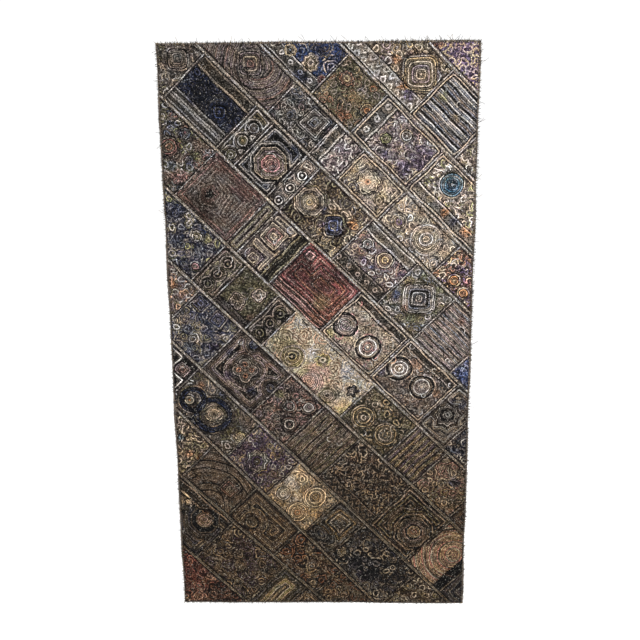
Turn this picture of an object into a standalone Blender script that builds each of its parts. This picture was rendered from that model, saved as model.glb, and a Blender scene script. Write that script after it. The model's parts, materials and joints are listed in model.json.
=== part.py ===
# A patchwork wall hanging of old metal thread embroidery, hung flat by its top edge.
# Units are metres. X runs across, Z up, and the front faces -Y. The origin is the middle of the top edge.
# Strips of embroidered cloth are sewn to one backing in diagonal rows, with braids over the seams between.
import math

import bmesh
import bpy
from mathutils import Vector

# The backing, which is the hanging's own size
WIDTH = 0.900
HEIGHT = 1.760
BACKING_THICKNESS = 0.0015
BACKING_CELL = 0.050
EDGE_WAVER = 0.0018

# The cloth hangs almost flat. Its shallow waves start below the top edge, which is held straight.
HELD_FLAT = 0.300
WAVES = (
    {"depth": 0.0017, "across": 0.64, "down": 1.90, "turn": 0.10},
    {"depth": 0.0008, "across": 0.50, "down": -0.85, "turn": 0.35},
)

# Patches lie a hair in front of the backing, thin at their sewn edges and fuller inside
CLEARANCE = 0.0005
EDGE_MARGIN = 0.0045
PATCH_GAP = 0.0015
PATCH_CELL = 0.058
PATCH_EDGE = 0.0014
PATCH_CROWN = 0.0027
PATCH_ROLL = 0.007
LEAST_POINT_GAP = 0.0015
OVERRUN = 0.030

# Braids lie on the backing, in the channels between the rows
BRAID_WIDTH = 0.0070
BRAID_HEIGHT = 0.0032
BRAID_SIDE_GAP = 0.0004
BRAID_CELL = 0.060

# The rows run down to the right at 45 degrees. "along" is measured that way from the top left corner,
# and "across" squarely to it, up to the right. A seam enters the cloth at its across value, and leans.
SEAMS = (
    {"across": 0.532, "slope": 0.000},
    {"across": 0.357, "slope": 0.000},
    {"across": 0.2015, "slope": 0.000},
    {"across": 0.078, "slope": 0.000},
    {"across": -0.097, "slope": 0.000},
    {"across": -0.279, "slope": 0.000},
    {"across": -0.4335, "slope": 0.000},
    {"across": -0.612, "slope": -0.019},
    {"across": -0.764, "slope": -0.045},
    {"across": -0.919, "slope": 0.000},
    {"across": -1.096, "slope": 0.000},
)

COLOURS = {
    "navy": (0.050, 0.058, 0.100),
    "slate": (0.120, 0.135, 0.160),
    "silver": (0.300, 0.285, 0.265),
    "cream": (0.520, 0.420, 0.310),
    "peach": (0.420, 0.250, 0.160),
    "gold": (0.290, 0.195, 0.085),
    "olive": (0.135, 0.115, 0.065),
    "taupe": (0.185, 0.150, 0.125),
    "brown": (0.105, 0.070, 0.052),
    "mauve": (0.180, 0.115, 0.130),
    "plum": (0.095, 0.060, 0.090),
    "rust": (0.240, 0.100, 0.055),
    "crimson": (0.230, 0.075, 0.065),
    "rose": (0.280, 0.165, 0.150),
}
COTTON = (0.42, 0.37, 0.30)
BRAID_SILVER = (0.40, 0.37, 0.33)

# One line for each row, from the top right corner to the bottom left. Each patch has its colour and the
# place along the row where it ends, and the last one of a row runs on to the edge of the cloth.
ROW_END = 2.0
ROWS = (
    (("plum", ROW_END),),
    (("gold", 0.640), ("slate", ROW_END)),
    (("navy", 0.404), ("olive", 0.559), ("silver", 0.785), ("slate", ROW_END)),
    (("taupe", 0.354), ("silver", 0.516), ("cream", 0.792), ("gold", 1.018), ("rust", ROW_END)),
    (
        ("navy", 0.318),
        ("silver", 0.516),
        ("gold", 0.781),
        ("mauve", 0.969),
        ("olive", 1.124),
        ("taupe", ROW_END),
    ),
    (
        ("rose", 0.325),
        ("brown", 0.569),
        ("mauve", 0.700),
        ("crimson", 0.909),
        ("cream", 1.117),
        ("peach", 1.329),
        ("slate", ROW_END),
    ),
    (("slate", 0.530), ("olive", 0.817), ("cream", 1.146), ("gold", 1.464), ("plum", ROW_END)),
    (
        ("slate", 0.739),
        ("brown", 0.946),
        ("mauve", 1.089),
        ("olive", 1.242),
        ("taupe", 1.464),
        ("rose", 1.640),
        ("peach", ROW_END),
    ),
    (("navy", 0.990), ("mauve", 1.167), ("cream", 1.457), ("plum", 1.697), ("olive", ROW_END)),
    (("taupe", 0.937), ("brown", 1.131), ("brown", ROW_END)),
    (("slate", 1.160), ("brown", ROW_END)),
    (("crimson", ROW_END),),
)

ROOT_2 = math.sqrt(2)


def smooth_step(value):
    value = min(max(value, 0.0), 1.0)
    return value * value * (3 - 2 * value)


def hang_depth(x, z):
    """How far the middle of the cloth stands behind its flat place."""
    wave = sum(
        w["depth"] * math.sin(2 * math.pi * (x / w["across"] + z / w["down"] + w["turn"]))
        for w in WAVES
    )
    return wave * smooth_step(-z / HELD_FLAT)


def laid_on_backing(x, z):
    """The y of the underside of whatever is sewn on."""
    return hang_depth(x, z) - BACKING_THICKNESS / 2 - CLEARANCE


def place(along, across):
    """A point of the flat cloth, from the rows' own directions."""
    return Vector(((along + across) / ROOT_2 - WIDTH / 2, 0, (across - along) / ROOT_2))


def seam_across(number, along):
    seam = SEAMS[number]
    return seam["across"] + seam["slope"] * (along - abs(seam["across"]))


def row_sides(row, along):
    """The across values of a row's lower and upper side, each half a braid short of its seam."""
    channel = BRAID_WIDTH / 2 + BRAID_SIDE_GAP
    upper = seam_across(row - 1, along) - channel if row > 0 else WIDTH / ROOT_2
    lower = seam_across(row, along) + channel if row < len(SEAMS) else -HEIGHT / ROOT_2
    return lower, upper


def row_range(lower, upper):
    """Where the cloth starts and ends along a strip between two across values."""
    start = 0.0 if lower < 0.0 < upper else min(abs(lower), abs(upper))
    return start, min(WIDTH * ROOT_2 - lower, HEIGHT * ROOT_2 + upper)


def edge_shift(distance, turn):
    """The small waver of a rough cloth edge, at a distance along it."""
    slow = math.sin(2 * math.pi * (distance / 0.41 + turn))
    quick = math.sin(2 * math.pi * (distance / 0.23 - turn))
    return EDGE_WAVER * (0.6 * slow + 0.4 * quick)


def thicken(bm, depth_at):
    """Gives a flat sheet its front: a copy of its faces, moved forward by a depth that may vary."""
    copied = bmesh.ops.extrude_face_region(bm, geom=bm.faces[:])["geom"]
    for item in copied:
        if isinstance(item, bmesh.types.BMVert):
            item.co.y -= depth_at(item.co)


def add_object(name, bm, colour, roughness, metallic):
    bmesh.ops.recalc_face_normals(bm, faces=bm.faces[:])
    mesh = bpy.data.meshes.new(name)
    bm.to_mesh(mesh)
    bm.free()
    obj = bpy.data.objects.new(name, mesh)
    bpy.context.collection.objects.link(obj)
    material = bpy.data.materials.new(name)
    material.use_nodes = True
    shader = material.node_tree.nodes["Principled BSDF"]
    shader.inputs["Base Color"].default_value = (*colour, 1.0)
    shader.inputs["Roughness"].default_value = roughness
    shader.inputs["Metallic"].default_value = metallic
    mesh.materials.append(material)


def add_grid(bm, rows_of_points):
    """Faces between neighbouring points, which are given row by row."""
    grid = [[bm.verts.new(point) for point in line] for line in rows_of_points]
    for upper, lower in zip(grid, grid[1:]):
        for k in range(len(upper) - 1):
            bm.faces.new((upper[k], upper[k + 1], lower[k + 1], lower[k]))


def make_backing():
    columns, lines = round(WIDTH / BACKING_CELL), round(HEIGHT / BACKING_CELL)
    points = []
    for line in range(lines + 1):
        z = -HEIGHT * line / lines
        end = (line == 0) - (line == lines)
        row = []
        for column in range(columns + 1):
            x = WIDTH * (column / columns - 0.5)
            side = (column == columns) - (column == 0)
            # the waver dies out at the middle of the top edge, where the hanging is measured from
            shift_x = side * edge_shift(z, 0.2 + 0.3 * side)
            shift_z = end * edge_shift(x, 0.5 * end) * smooth_step(abs(x) / 0.2)
            row.append((x + shift_x, hang_depth(x, z) + BACKING_THICKNESS / 2, z + shift_z))
        points.append(row)
    bm = bmesh.new()
    add_grid(bm, points)
    thicken(bm, lambda co: BACKING_THICKNESS)
    add_object("backing", bm, COTTON, 0.9, 0.0)


def sides_of_cloth():
    """The four lines that the patches stop at, each a point and a direction that faces out."""
    side = WIDTH / 2 - EDGE_MARGIN
    return [
        (Vector((-side, 0, 0)), Vector((-1, 0, 0))),
        (Vector((side, 0, 0)), Vector((1, 0, 0))),
        (Vector((0, 0, -EDGE_MARGIN)), Vector((0, 0, 1))),
        (Vector((0, 0, EDGE_MARGIN - HEIGHT)), Vector((0, 0, -1))),
    ]


def cut(bm, point, normal, is_trimmed):
    everything = bm.verts[:] + bm.edges[:] + bm.faces[:]
    bmesh.ops.bisect_plane(
        bm, geom=everything, plane_co=point, plane_no=normal, clear_outer=is_trimmed
    )


def make_patch(name, row, start, end, colour):
    # a strip between the two seams, longer than the cloth where it meets an edge
    cells = max(1, round((end - start) / PATCH_CELL))
    lower, upper = row_sides(row, start)
    across_cells = max(2, round((upper - lower) / PATCH_CELL))
    points = []
    for i in range(cells + 1):
        along = start + (end - start) * i / cells
        lower, upper = row_sides(row, along)
        points.append(
            [place(along, lower + (upper - lower) * j / across_cells) for j in range(across_cells + 1)]
        )
    bm = bmesh.new()
    add_grid(bm, points)

    # its own four sides, then the edges of the cloth, which trim it
    corners = [points[0][0], points[-1][0], points[-1][-1], points[0][-1]]
    sides = []
    for first, second in zip(corners, corners[1:] + corners[:1]):
        run = (second - first).normalized()
        sides.append((first, Vector((-run.z, 0, run.x))))
    middle = sum(corners, Vector()) / 4
    sides = [(point, out if (point - middle).dot(out) > 0 else -out) for point, out in sides]
    for point, out in sides_of_cloth():
        cut(bm, point, out, True)
        sides.append((point, out))
    bmesh.ops.remove_doubles(bm, verts=bm.verts[:], dist=LEAST_POINT_GAP)

    # a line of points inside each side lets the cloth roll up from its sewn edge
    for point, out in sides:
        cut(bm, point - out * PATCH_ROLL, out, False)

    def patch_depth(co):
        nearest = min((point - co).dot(out) for point, out in sides)
        return PATCH_EDGE + (PATCH_CROWN - PATCH_EDGE) * smooth_step(0.6 * nearest / PATCH_ROLL)

    for vert in bm.verts:
        vert.co.y = laid_on_backing(vert.co.x, vert.co.z)
    thicken(bm, patch_depth)
    add_object(name, bm, COLOURS[colour], 0.6, 0.3)


def make_row(row):
    middle = sum(row_range(*row_sides(row, 0.0))) / 2
    row_start, row_stop = row_range(*row_sides(row, middle))
    start, row_stop = row_start - OVERRUN, row_stop + OVERRUN
    for count, (colour, end) in enumerate(ROWS[row], start=1):
        stop = min(end - PATCH_GAP / 2, row_stop)
        make_patch(f"patch_{row + 1:02d}_{count}", row, start, stop, colour)
        start = stop + PATCH_GAP


def make_braid(number):
    """One braid from edge to edge of the cloth, flat below and round above."""
    half = BRAID_WIDTH / 2
    profile = (
        (-half, 0.0),
        (-0.88 * half, 0.6 * BRAID_HEIGHT),
        (-0.42 * half, BRAID_HEIGHT),
        (0.42 * half, BRAID_HEIGHT),
        (0.88 * half, 0.6 * BRAID_HEIGHT),
        (half, 0.0),
    )
    start = abs(SEAMS[number]["across"]) + EDGE_MARGIN * ROOT_2
    stop = start
    for _ in range(4):
        across = seam_across(number, stop)
        stop = min(WIDTH * ROOT_2 - across, HEIGHT * ROOT_2 + across) - EDGE_MARGIN * ROOT_2
    cells = round((stop - start) / BRAID_CELL)
    bm = bmesh.new()
    rings = []
    for i in range(cells + 1):
        along = start + (stop - start) * i / cells
        ring = []
        for offset, rise in profile:
            point = place(along, seam_across(number, along) + offset)
            point.y = laid_on_backing(point.x, point.z) - rise
            ring.append(bm.verts.new(point))
        rings.append(ring)
    for first, second in zip(rings, rings[1:]):
        for k in range(len(profile)):
            other = (k + 1) % len(profile)
            bm.faces.new((first[k], first[other], second[other], second[k]))
    bm.faces.new(rings[0])
    bm.faces.new(rings[-1])
    add_object(f"braid_{number + 1:02d}", bm, BRAID_SILVER, 0.45, 0.7)


for old in list(bpy.data.objects):
    bpy.data.objects.remove(old, do_unlink=True)

make_backing()
for row_number in range(len(ROWS)):
    make_row(row_number)
for seam_number in range(len(SEAMS)):
    make_braid(seam_number)
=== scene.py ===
# Patchwork wall hanging of old metal thread embroidery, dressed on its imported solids.
# Lengths on the flat cloth are in millimetres: x runs right and y down from its top left corner.
# Each row of patches runs down to the right: "along" is measured that way, and "across" squarely to it,
# up to the right.
import json
import math

import bmesh
import bpy
import numpy as np
from mathutils import Matrix, Vector


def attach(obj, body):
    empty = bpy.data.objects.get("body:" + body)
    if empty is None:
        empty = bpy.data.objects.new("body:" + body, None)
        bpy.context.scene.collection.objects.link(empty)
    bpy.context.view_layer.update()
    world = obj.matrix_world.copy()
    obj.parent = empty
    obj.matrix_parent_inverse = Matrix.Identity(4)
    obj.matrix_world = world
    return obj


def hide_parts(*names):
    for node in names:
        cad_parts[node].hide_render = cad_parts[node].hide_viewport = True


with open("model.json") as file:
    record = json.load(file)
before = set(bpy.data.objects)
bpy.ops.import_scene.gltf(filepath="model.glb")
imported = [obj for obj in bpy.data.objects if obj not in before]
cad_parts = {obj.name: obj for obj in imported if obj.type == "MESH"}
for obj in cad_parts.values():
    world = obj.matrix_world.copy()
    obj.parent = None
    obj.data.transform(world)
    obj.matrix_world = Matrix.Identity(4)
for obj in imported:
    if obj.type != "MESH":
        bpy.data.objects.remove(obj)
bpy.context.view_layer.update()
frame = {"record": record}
root2 = math.sqrt(2)
mm = 0.001

# The hanging's own form, the same as the solids have
hanging = {
    "width": 900.0,
    "height": 1760.0,
    "backingThick": 1.5,
    "clearance": 0.5,
    "edgeMargin": 4.5,
    "channel": 3.9,  # from a seam's line to the cloth of a row
    "patchGap": 1.5,
    "heldFlat": 0.300,
    "waves": (
        {"depth": 0.0017, "across": 0.64, "down": 1.90, "turn": 0.10},
        {"depth": 0.0008, "across": 0.50, "down": -0.85, "turn": 0.35},
    ),
    "seams": (
        (532.0, 0.0),
        (357.0, 0.0),
        (201.5, 0.0),
        (78.0, 0.0),
        (-97.0, 0.0),
        (-279.0, 0.0),
        (-433.5, 0.0),
        (-612.0, -0.019),
        (-764.0, -0.045),
        (-919.0, 0.0),
        (-1096.0, 0.0),
    ),
}

# Colours of thread and cloth, by their names in a workbox
inks = {
    "black": (0.010, 0.009, 0.011),
    "soot": (0.030, 0.024, 0.024),
    "navy": (0.026, 0.038, 0.088),
    "blue": (0.032, 0.062, 0.165),
    "teal": (0.034, 0.105, 0.150),
    "slate": (0.100, 0.115, 0.140),
    "silver": (0.380, 0.355, 0.315),
    "white": (0.720, 0.680, 0.600),
    "cream": (0.640, 0.520, 0.350),
    "beige": (0.340, 0.270, 0.190),
    "peach": (0.500, 0.290, 0.170),
    "blush": (0.740, 0.480, 0.360),
    "pink": (0.460, 0.210, 0.200),
    "rose": (0.215, 0.118, 0.098),
    "crimson": (0.170, 0.052, 0.048),
    "rust": (0.220, 0.095, 0.052),
    "orange": (0.400, 0.175, 0.065),
    "yellow": (0.400, 0.340, 0.140),
    "gold": (0.285, 0.210, 0.110),
    "moss": (0.190, 0.190, 0.078),
    "olive": (0.125, 0.110, 0.055),
    "taupe": (0.170, 0.135, 0.110),
    "brown": (0.080, 0.050, 0.036),
    "mauve": (0.180, 0.132, 0.136),
    "purple": (0.078, 0.050, 0.104),
    "maroon": (0.058, 0.030, 0.026),
}


def smoothStep(value):
    value = np.clip(value, 0.0, 1.0)
    return value * value * (3 - 2 * value)


def ripple(x, y, size, seed=0.0):
    # a smooth irregular field from -1 to 1, with bumps about that many millimetres across
    k = 2 * math.pi / size
    a = np.sin(k * (0.83 * x + 0.31 * y) + 1.7 * seed + 1.3 * np.sin(k * 0.37 * y + seed))
    b = np.sin(k * (-0.42 * x + 0.71 * y) + 2.9 * seed + 1.1 * np.sin(k * 0.45 * x - seed))
    c = np.sin(k * (0.21 * x - 0.96 * y) - 0.6 * seed)
    return (a + b + c) / 3


def hangDepth(x, z):
    wave = 0.0
    for w in hanging["waves"]:
        wave = wave + w["depth"] * np.sin(2 * math.pi * (x / w["across"] + z / w["down"] + w["turn"]))
    return wave * smoothStep(-z / hanging["heldFlat"])


def toWorld(x, y, rise):
    # flat millimetres to metres in the frame, raised that far from the front of the backing
    wx, wz = (x - hanging["width"] / 2) * mm, -y * mm
    return np.stack((wx, hangDepth(wx, wz) - (hanging["backingThick"] / 2 + rise) * mm, wz), -1)


def toFlat(along, across):
    return (along + across) / root2, (along - across) / root2


def toRow(x, y):
    return (x + y) / root2, (x - y) / root2


def seamAcross(number, along):
    across, slope = hanging["seams"][number]
    return across + slope * (along - abs(across))


def rowSides(row, along):
    channel = hanging["channel"]
    upper = seamAcross(row - 1, along) - channel if row > 0 else hanging["width"] / root2 + 0 * along
    last = len(hanging["seams"])
    lower = seamAcross(row, along) + channel if row < last else -hanging["height"] / root2 + 0 * along
    return lower, upper


def rowRange(row):
    # where the cloth starts and ends along a row, with a little to spare
    lower, upper = rowSides(row, 0.0)
    lower, upper = rowSides(row, max(abs(lower), abs(upper)))
    start = 0.0 if lower < 0.0 < upper else min(abs(lower), abs(upper))
    stop = min(hanging["width"] * root2 - lower, hanging["height"] * root2 + upper)
    return start - 30, stop + 45


def fromClothEdge(x, y):
    return np.minimum(np.minimum(x, hanging["width"] - x), np.minimum(y, hanging["height"] - y))


# Shader maths in plain expressions
class Sock:
    def __init__(self, tree, socket):
        self.tree, self.socket = tree, socket

    def math(self, operation, *others):
        return node(self.tree, "ShaderNodeMath", {"operation": operation}, (self, *others))

    def __add__(self, other):
        return self.math("ADD", other)

    def __sub__(self, other):
        return self.math("SUBTRACT", other)

    def __mul__(self, other):
        return self.math("MULTIPLY", other)


def node(tree, kind, settings, values, output=0):
    made = tree.nodes.new(kind)
    for name, value in settings.items():
        setattr(made, name, value)
    pairs = values.items() if isinstance(values, dict) else enumerate(values)
    for key, value in pairs:
        if isinstance(value, Sock):
            tree.links.new(value.socket, made.inputs[key])
        else:
            made.inputs[key].default_value = value
    return Sock(tree, made.outputs[output])


# How the materials look. Twists: for each millimetre of thread; stitches, slubs and threads: frequencies
# over a metre; flecks: their size in metres, how dark and how bright they get, partly as painted shade and
# painted highlight; bump: its height in metres; paintedGlint: the colour of the painted silvery highlight
looks = {
    "thread": {"metal": 0.55, "rough": 0.40, "bump": 0.0008, "twists": 0.42, "flecks": (0.0042, 0.16, 2.8)},
    "cloth": {"metal": 0.15, "rough": 0.72, "bump": 0.0010, "stitches": 190.0, "flecks": (0.0052, 0.15, 3.2)},
    "cotton": {"metal": 0.0, "rough": 0.88, "bump": 0.0004, "threads": 3100.0, "slubs": 55.0},
    "floor": {"metal": 0.0, "rough": 0.90},
    "paintedGlint": (0.36, 0.33, 0.28, 1.0),
}


def newMaterial(name, look):
    material = bpy.data.materials.new(name)
    material.use_nodes = True
    tree = material.node_tree
    shader = tree.nodes["Principled BSDF"]
    shader.inputs["Roughness"].default_value = look["rough"]
    shader.inputs["Metallic"].default_value = look["metal"]
    shader.inputs["Specular IOR Level"].default_value = 0.08
    return material, tree, shader


def finishMaterial(tree, shader, colour, height, distance, strength):
    bump = node(tree, "ShaderNodeBump", {}, {"Strength": strength, "Distance": distance, "Height": height})
    tree.links.new(bump.socket, shader.inputs["Normal"])
    tree.links.new(colour.socket, shader.inputs["Base Color"])


def ownInk(tree):
    return node(tree, "ShaderNodeAttribute", {"attribute_name": "ink"}, {})


def ownPlace(tree):
    return node(tree, "ShaderNodeTexCoord", {}, {}, 3)


def parted(tree, vector):
    parts = tree.nodes.new("ShaderNodeSeparateXYZ")
    tree.links.new(vector.socket, parts.inputs[0])
    return [Sock(tree, output) for output in parts.outputs]


def mixInk(tree, factor, first, second, blend="MIX"):
    settings = {"data_type": "RGBA", "blend_type": blend, "clamp_factor": True}
    return node(tree, "ShaderNodeMix", settings, {0: factor, 6: first, 7: second}, 2)


def shaded(tree, ink, shade):
    grey = node(tree, "ShaderNodeCombineXYZ", {}, (shade, shade, shade))
    return mixInk(tree, 1.0, ink, grey, "MULTIPLY")


def noise(tree, place, scale, detail, rough):
    values = {"Vector": place, "Scale": scale, "Detail": detail, "Roughness": rough}
    return node(tree, "ShaderNodeTexNoise", {}, values)


def flecks(tree, place, size, low, high):
    # small dark places and bright ones, partly worn and tarnished metal and partly painted shade and painted
    # highlight; the brightest get a painted silvery glint; bright thread keeps an even tone
    ink = ownInk(tree)
    spread = noise(tree, place, 1.0 / size, 1.5, 0.6)
    gain = ((spread - 0.5) * 7.5 + 1.0).math("MAXIMUM", low).math("MINIMUM", high)
    colour = shaded(tree, ink, gain.math("MAXIMUM", ink * 1.25))
    # painted highlight: the brightest flecks turn silvery, a painted glint
    paintedGlint = ((spread - 0.62) * 9.0).math("MAXIMUM", 0.0).math("MINIMUM", 0.55)
    return mixInk(tree, paintedGlint, colour, looks["paintedGlint"]), spread


def threadMaterial(name, look):
    # metal wound round a core: diagonal plies with painted shade between them, worn and tarnished places with
    # painted highlights
    material, tree, shader = newMaterial(name, look)
    run, around = parted(tree, node(tree, "ShaderNodeUVMap", {"uv_map": "thread"}, {}))[:2]
    plies = ((run * look["twists"] + around) * (2 * math.pi)).math("SINE") * 0.5 + 0.5
    colour, spread = flecks(tree, ownPlace(tree), *look["flecks"])
    rough = (spread * -0.35) + (look["rough"] + 0.20)
    tree.links.new(rough.socket, shader.inputs["Roughness"])
    # painted shade: darker in the grooves between the plies
    colour = shaded(tree, colour, plies * 0.28 + 0.40)
    finishMaterial(tree, shader, colour, plies + spread * 1.5, look["bump"], 0.9)
    return material


def clothMaterial(name, look):
    # cloth under the couching: close small stitches, painted bright on top and painted dark between, as light
    # and shade fall on them
    material, tree, shader = newMaterial(name, look)
    place = ownPlace(tree)
    seeds = node(tree, "ShaderNodeTexVoronoi", {}, {"Vector": place, "Scale": look["stitches"]})
    colour, spread = flecks(tree, place, *look["flecks"])
    # painted shade between the stitches and painted light on their tops
    colour = shaded(tree, colour, (seeds * -1.1 + 0.95).math("MAXIMUM", 0.08))
    finishMaterial(tree, shader, colour, spread - seeds, look["bump"], 0.9)
    return material


def cottonMaterial(name, look):
    # plain weave: fine threads both ways, a little uneven
    material, tree, shader = newMaterial(name, look)
    place = ownPlace(tree)
    weft, warp = [(axis * look["threads"]).math("SINE") for axis in parted(tree, place)[::2]]
    weave = weft * warp
    slub = noise(tree, place, look["slubs"], 3.0, 0.6)
    colour = shaded(tree, ownInk(tree), (slub - 0.5) * 0.9 + 1.0 + weave * 0.10)
    finishMaterial(tree, shader, colour, weave + slub * 2.0, look["bump"], 0.6)
    return material


def finishPiece(name, mesh, material, colours, uv=None):
    # a colour, and for thread its place along and round it, for each point of the mesh
    layer = mesh.attributes.new("ink", "FLOAT_COLOR", "POINT")
    rgba = np.ones((len(colours), 4), np.float32)
    rgba[:, :3] = colours
    layer.data.foreach_set("color", rgba.ravel())
    if uv is not None:
        corners = np.empty(len(mesh.loops), np.int32)
        mesh.loops.foreach_get("vertex_index", corners)
        layer = mesh.uv_layers.new(name="thread")
        layer.data.foreach_set("uv", np.asarray(uv, np.float32)[corners].ravel())
    mesh.polygons.foreach_set("use_smooth", np.ones(len(mesh.polygons), bool))
    mesh.materials.append(material)
    mesh.update()
    piece = bpy.data.objects.new(name, mesh)
    bpy.context.collection.objects.link(piece)
    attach(piece, "root")
    return piece


def newPiece(name, points, faces, material, colours, uv=None):
    mesh = bpy.data.meshes.new(name)
    mesh.from_pydata(points.tolist(), [], faces)
    return finishPiece(name, mesh, material, colours, uv)


# A field of the patchwork, which starts where the one before it in its row ends
# to: its end along the row; on: the number in its row of the solid patch it lies on
# cloth: the ground between the couched rounds; threads: inks of the rounds in turn; kind: how they run
# bands: strips at a side, "side width ink fill"
# motifs: "shape x y radius" and their inks from the outline inwards
# spots: places of another colour, "x y radius ink"
# centre: of arcs; rim: inks of the outermost rounds; size: of the cells; pitch: of the rounds
# dark: one round is dark in so many; ground and metal: how much of the cloth's and of the metal's own colour
# tone: how light the whole field is; strokes: how many loose curls lie on it; border: lines along its sides
fieldFacts = {
    "centre": (0, 0),
    "rim": "",
    "size": 16,
    "pitch": 5.4,
    "dark": 4,
    "ground": 0.62,
    "metal": 0.26,
    "tone": 1.0,
    "strokes": 1.0,
    "border": 1,
}


def readEntries(text):
    # lists of the words of each entry, with its numbers as numbers
    words = [entry.split() for entry in text.split(", ") if entry]
    return [[int(word) if word.isdigit() else word for word in entry] for entry in words]


def field(to, on, cloth, threads, kind, bands="", motifs="", spots="", **more):
    facts = {**fieldFacts, **more}
    facts.update(to=to, on=on, cloth=cloth, threads=threads.split(), kind=kind, rim=facts["rim"].split())
    facts.update(bands=readEntries(bands), spots=readEntries(spots))
    facts["motifs"] = [(*motif[:4], motif[4:]) for motif in readEntries(motifs)]
    return facts


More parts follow.
